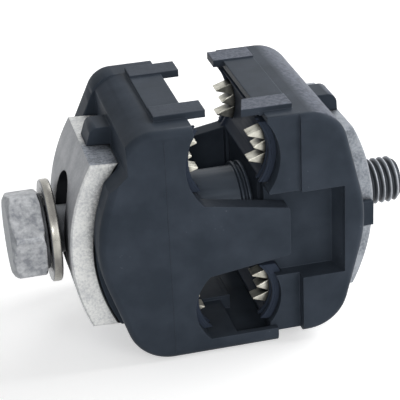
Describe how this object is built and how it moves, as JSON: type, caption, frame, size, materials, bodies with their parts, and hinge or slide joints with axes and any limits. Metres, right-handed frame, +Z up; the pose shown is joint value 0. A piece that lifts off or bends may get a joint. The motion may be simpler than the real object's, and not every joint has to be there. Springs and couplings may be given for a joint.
{
  "type": "insulation piercing connector",
  "caption": "Screw clamp for two insulated overhead cables: black moulded halves with toothed contact blades, drawn together between arched metal plates by a hex head bolt.",
  "frame": {"origin": "centre of the bounding box's footprint, on the rest face", "axes": "+X along the bolt from its head to its threaded tip, +Y along the cables, +Z up"},
  "size_m": [0.0852, 0.042, 0.0522],
  "materials": {
    "black_nylon": "black glass-filled nylon, fine moulded texture",
    "cast_plate": "light grey cast alloy, grainy sawn edges",
    "galvanised_steel": "dull mottled hot-dip zinc",
    "washer_steel": "bright zinc plate",
    "tinned_copper": "tin plate over copper, satin",
    "seal_rubber": "smooth dark elastomer"
  },
  "bodies": {
    "head_side": {"body_half_head_side": "black_nylon", "pressure_plate_head_side": "cast_plate", "blade_front_head_side": "tinned_copper", "blade_rear_head_side": "tinned_copper", "seal_main_head_side": "seal_rubber", "seal_tap_head_side": "seal_rubber"},
    "nut_side": {"body_half_nut_side": "black_nylon", "pressure_plate_nut_side": "cast_plate", "blade_front_nut_side": "tinned_copper", "blade_rear_nut_side": "tinned_copper", "seal_main_nut_side": "seal_rubber", "seal_tap_nut_side": "seal_rubber", "bolt_sleeve": "black_nylon"},
    "washer": {"washer": "washer_steel"},
    "bolt": {"hex_bolt": "galvanised_steel"}
  },
  "joints": [
    {"name": "closing_slide", "type": "slide", "parent": "head_side", "child": "nut_side", "axis": [-1, 0, 0], "range_m": [0, 0.005]},
    {"name": "washer_slide", "type": "slide", "parent": "head_side", "child": "washer", "axis": [1, 0, 0], "range_m": [0, 0.0011]},
    {"name": "bolt_turn", "type": "hinge", "parent": "washer", "child": "bolt", "pos_m": [0, 0, 0.024], "axis": [1, 0, 0], "range_deg": [0, 1464.01]}
  ],
  "couplings": [
    {"joint": "washer_slide", "follows": "closing_slide", "ratio": 0.22},
    {"joint": "bolt_turn", "follows": "closing_slide", "rad_per_m": 5110.3}
  ]
}
